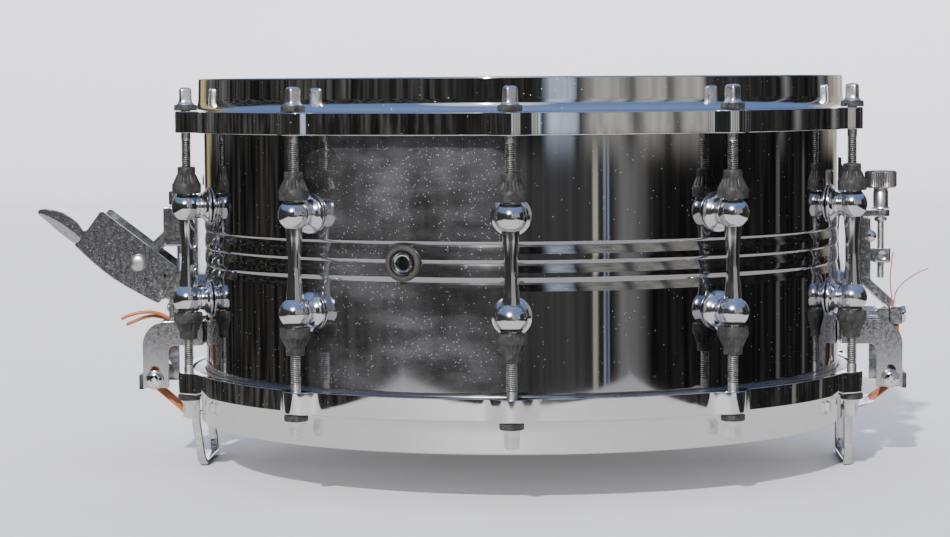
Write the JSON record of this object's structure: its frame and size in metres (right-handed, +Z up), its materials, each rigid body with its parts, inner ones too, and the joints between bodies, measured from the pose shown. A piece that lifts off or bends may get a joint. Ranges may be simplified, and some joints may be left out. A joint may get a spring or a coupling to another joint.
{
  "type": "snare drum",
  "caption": "Metal snare drum with die-cast hoops, tube lugs, two heads, adjustable wire snares, a throw-off lever and a butt plate.",
  "frame": {"origin": "centre of the batter head's playing face, on the drum's axis", "axes": "+Z up along the drum's axis, out of the batter head; -X to the throw-off lever, +X to the butt; one lug is at -Y"},
  "size_m": [0.5021, 0.3968, 0.2173],
  "materials": {
    "black_nickel": "black nickel plate, polished to a mirror",
    "chrome": "bright chrome plate",
    "zinc_plate": "bright zinc plate, slightly mottled",
    "steel": "plain turned and drawn steel, satin",
    "dark_sleeve": "dark grey satin, on the cones and washers",
    "coated_film": "white coated polyester film",
    "clear_film": "hazy clear polyester film",
    "orange_cord": "waxed orange snare cord",
    "copper_wire": "thin lacquered copper wire"
  },
  "bodies": {
    "drum": {"shell": "black_nickel", "vent_eyelet": "chrome", "batter_head": "coated_film", "snare_head": "clear_film", "batter_hoop": "chrome", "snare_hoop": "chrome", "lug_01": "chrome", "lug_02": "chrome", "lug_03": "chrome", "lug_04": "chrome", "lug_05": "chrome", "lug_06": "chrome", "lug_07": "chrome", "lug_08": "chrome", "lug_09": "chrome", "lug_10": "chrome", "strainer_base": "zinc_plate", "lever_pin": "steel", "strainer_guide": "zinc_plate", "strainer_guide_bar": "steel", "strainer_guard": "zinc_plate", "butt_base": "zinc_plate", "butt_guide": "zinc_plate", "butt_guide_bar": "steel", "butt_guard": "zinc_plate", "strainer_cords": "orange_cord", "butt_cords": "orange_cord"},
    "throw_off_lever": {"throw_off_lever": "zinc_plate"},
    "throw_off_link": {"throw_off_link": "zinc_plate"},
    "strainer_slide": {"strainer_slide": "chrome"},
    "strainer_knob": {"strainer_tension_knob": "steel"},
    "cord_clamp": {"strainer_cord_clamp": "zinc_plate", "strainer_cord_tail_a": "orange_cord", "strainer_cord_tail_b": "orange_cord"},
    "butt_knob": {"butt_tension_knob": "steel"},
    "butt_slide": {"butt_slide": "zinc_plate", "butt_wire_tail_a": "copper_wire", "butt_wire_tail_b": "copper_wire"},
    "snares": {"snare_wires": "steel"},
    "batter_rod_01": {"batter_rod_01": "chrome"},
    "batter_rod_02": {"batter_rod_02": "chrome"},
    "batter_rod_03": {"batter_rod_03": "chrome"},
    "batter_rod_04": {"batter_rod_04": "chrome"},
    "batter_rod_05": {"batter_rod_05": "chrome"},
    "batter_rod_06": {"batter_rod_06": "chrome"},
    "batter_rod_07": {"batter_rod_07": "chrome"},
    "batter_rod_08": {"batter_rod_08": "chrome"},
    "batter_rod_09": {"batter_rod_09": "chrome"},
    "batter_rod_10": {"batter_rod_10": "chrome"},
    "snare_rod_01": {"snare_rod_01": "chrome"},
    "snare_rod_02": {"snare_rod_02": "chrome"},
    "snare_rod_03": {"snare_rod_03": "chrome"},
    "snare_rod_04": {"snare_rod_04": "chrome"},
    "snare_rod_05": {"snare_rod_05": "chrome"},
    "snare_rod_06": {"snare_rod_06": "chrome"},
    "snare_rod_07": {"snare_rod_07": "chrome"},
    "snare_rod_08": {"snare_rod_08": "chrome"},
    "snare_rod_09": {"snare_rod_09": "chrome"},
    "snare_rod_10": {"snare_rod_10": "chrome"}
  },
  "joints": [
    {"name": "lever_throw", "type": "hinge", "parent": "drum", "child": "throw_off_lever", "pos_m": [-0.2033, 0, -0.1078], "axis": [0, 1, 0], "range_deg": [0, 52.7]},
    {"name": "link_turn", "type": "hinge", "parent": "throw_off_lever", "child": "throw_off_link", "pos_m": [-0.2154, 0, -0.0915], "axis": [0, -1, 0], "range_deg": [0, 101.5]},
    {"name": "slide_rise", "type": "slide", "parent": "drum", "child": "strainer_slide", "axis": [0, 0, 1], "range_m": [0, 0.0099], "deforming": ["strainer_cords"]},
    {"name": "snares_rise", "type": "slide", "parent": "drum", "child": "snares", "axis": [0, 0, 1], "range_m": [0, 0.0062]},
    {"name": "strainer_knob_turn", "type": "hinge", "parent": "strainer_slide", "child": "strainer_knob", "pos_m": [-0.1932, 0, -0.0558], "axis": [0, 0, -1], "range_deg": [-2880, 0]},
    {"name": "cord_clamp_rise", "type": "slide", "parent": "strainer_slide", "child": "cord_clamp", "axis": [0, 0, 1], "range_m": [-0.0056, 0], "deforming": ["strainer_cords"]},
    {"name": "butt_knob_turn", "type": "hinge", "parent": "drum", "child": "butt_knob", "pos_m": [0.2024, 0, -0.047], "axis": [0, 0, -1], "range_deg": [0, 2880]},
    {"name": "butt_slide_rise", "type": "slide", "parent": "drum", "child": "butt_slide", "axis": [0, 0, 1], "range_m": [0, 0.0056], "deforming": ["butt_cords"]},
    {"name": "batter_rod_01_turn", "type": "hinge", "parent": "drum", "child": "batter_rod_01", "pos_m": [0, -0.1902, 0.0031], "axis": [0, 0, 1], "range_deg": [-90, 90]},
    {"name": "batter_rod_02_turn", "type": "hinge", "parent": "drum", "child": "batter_rod_02", "pos_m": [0.1118, -0.15388, 0.0031], "axis": [0, 0, 1], "range_deg": [-90, 90]},
    {"name": "batter_rod_03_turn", "type": "hinge", "parent": "drum", "child": "batter_rod_03", "pos_m": [0.18089, -0.05878, 0.0031], "axis": [0, 0, 1], "range_deg": [-90, 90]},
    {"name": "batter_rod_04_turn", "type": "hinge", "parent": "drum", "child": "batter_rod_04", "pos_m": [0.18089, 0.05878, 0.0031], "axis": [0, 0, 1], "range_deg": [-90, 90]},
    {"name": "batter_rod_05_turn", "type": "hinge", "parent": "drum", "child": "batter_rod_05", "pos_m": [0.1118, 0.15388, 0.0031], "axis": [0, 0, 1], "range_deg": [-90, 90]},
    {"name": "batter_rod_06_turn", "type": "hinge", "parent": "drum", "child": "batter_rod_06", "pos_m": [0, 0.1902, 0.0031], "axis": [0, 0, 1], "range_deg": [-90, 90]},
    {"name": "batter_rod_07_turn", "type": "hinge", "parent": "drum", "child": "batter_rod_07", "pos_m": [-0.1118, 0.15388, 0.0031], "axis": [0, 0, 1], "range_deg": [-90, 90]},
    {"name": "batter_rod_08_turn", "type": "hinge", "parent": "drum", "child": "batter_rod_08", "pos_m": [-0.18089, 0.05878, 0.0031], "axis": [0, 0, 1], "range_deg": [-90, 90]},
    {"name": "batter_rod_09_turn", "type": "hinge", "parent": "drum", "child": "batter_rod_09", "pos_m": [-0.18089, -0.05878, 0.0031], "axis": [0, 0, 1], "range_deg": [-90, 90]},
    {"name": "batter_rod_10_turn", "type": "hinge", "parent": "drum", "child": "batter_rod_10", "pos_m": [-0.1118, -0.15388, 0.0031], "axis": [0, 0, 1], "range_deg": [-90, 90]},
    {"name": "snare_rod_01_turn", "type": "hinge", "parent": "drum", "child": "snare_rod_01", "pos_m": [0, -0.1902, -0.1697], "axis": [0, 0, 1], "range_deg": [-90, 90]},
    {"name": "snare_rod_02_turn", "type": "hinge", "parent": "drum", "child": "snare_rod_02", "pos_m": [0.1118, -0.15388, -0.1697], "axis": [0, 0, 1], "range_deg": [-90, 90]},
    {"name": "snare_rod_03_turn", "type": "hinge", "parent": "drum", "child": "snare_rod_03", "pos_m": [0.18089, -0.05878, -0.1697], "axis": [0, 0, 1], "range_deg": [-90, 90]},
    {"name": "snare_rod_04_turn", "type": "hinge", "parent": "drum", "child": "snare_rod_04", "pos_m": [0.18089, 0.05878, -0.1697], "axis": [0, 0, 1], "range_deg": [-90, 90]},
    {"name": "snare_rod_05_turn", "type": "hinge", "parent": "drum", "child": "snare_rod_05", "pos_m": [0.1118, 0.15388, -0.1697], "axis": [0, 0, 1], "range_deg": [-90, 90]},
    {"name": "snare_rod_06_turn", "type": "hinge", "parent": "drum", "child": "snare_rod_06", "pos_m": [0, 0.1902, -0.1697], "axis": [0, 0, 1], "range_deg": [-90, 90]},
    {"name": "snare_rod_07_turn", "type": "hinge", "parent": "drum", "child": "snare_rod_07", "pos_m": [-0.1118, 0.15388, -0.1697], "axis": [0, 0, 1], "range_deg": [-90, 90]},
    {"name": "snare_rod_08_turn", "type": "hinge", "parent": "drum", "child": "snare_rod_08", "pos_m": [-0.18089, 0.05878, -0.1697], "axis": [0, 0, 1], "range_deg": [-90, 90]},
    {"name": "snare_rod_09_turn", "type": "hinge", "parent": "drum", "child": "snare_rod_09", "pos_m": [-0.18089, -0.05878, -0.1697], "axis": [0, 0, 1], "range_deg": [-90, 90]},
    {"name": "snare_rod_10_turn", "type": "hinge", "parent": "drum", "child": "snare_rod_10", "pos_m": [-0.1118, -0.15388, -0.1697], "axis": [0, 0, 1], "range_deg": [-90, 90]}
  ],
  "couplings": [
    {"joint": "link_turn", "follows": "lever_throw", "ratio": 1.9231},
    {"joint": "slide_rise", "follows": "lever_throw", "m_per_rad": 0.010687},
    {"joint": "snares_rise", "follows": "lever_throw", "m_per_rad": 0.006632},
    {"joint": "cord_clamp_rise", "follows": "strainer_knob_turn", "m_per_rad": 0.0001114},
    {"joint": "butt_slide_rise", "follows": "butt_knob_turn", "m_per_rad": 0.0001114}
  ]
}
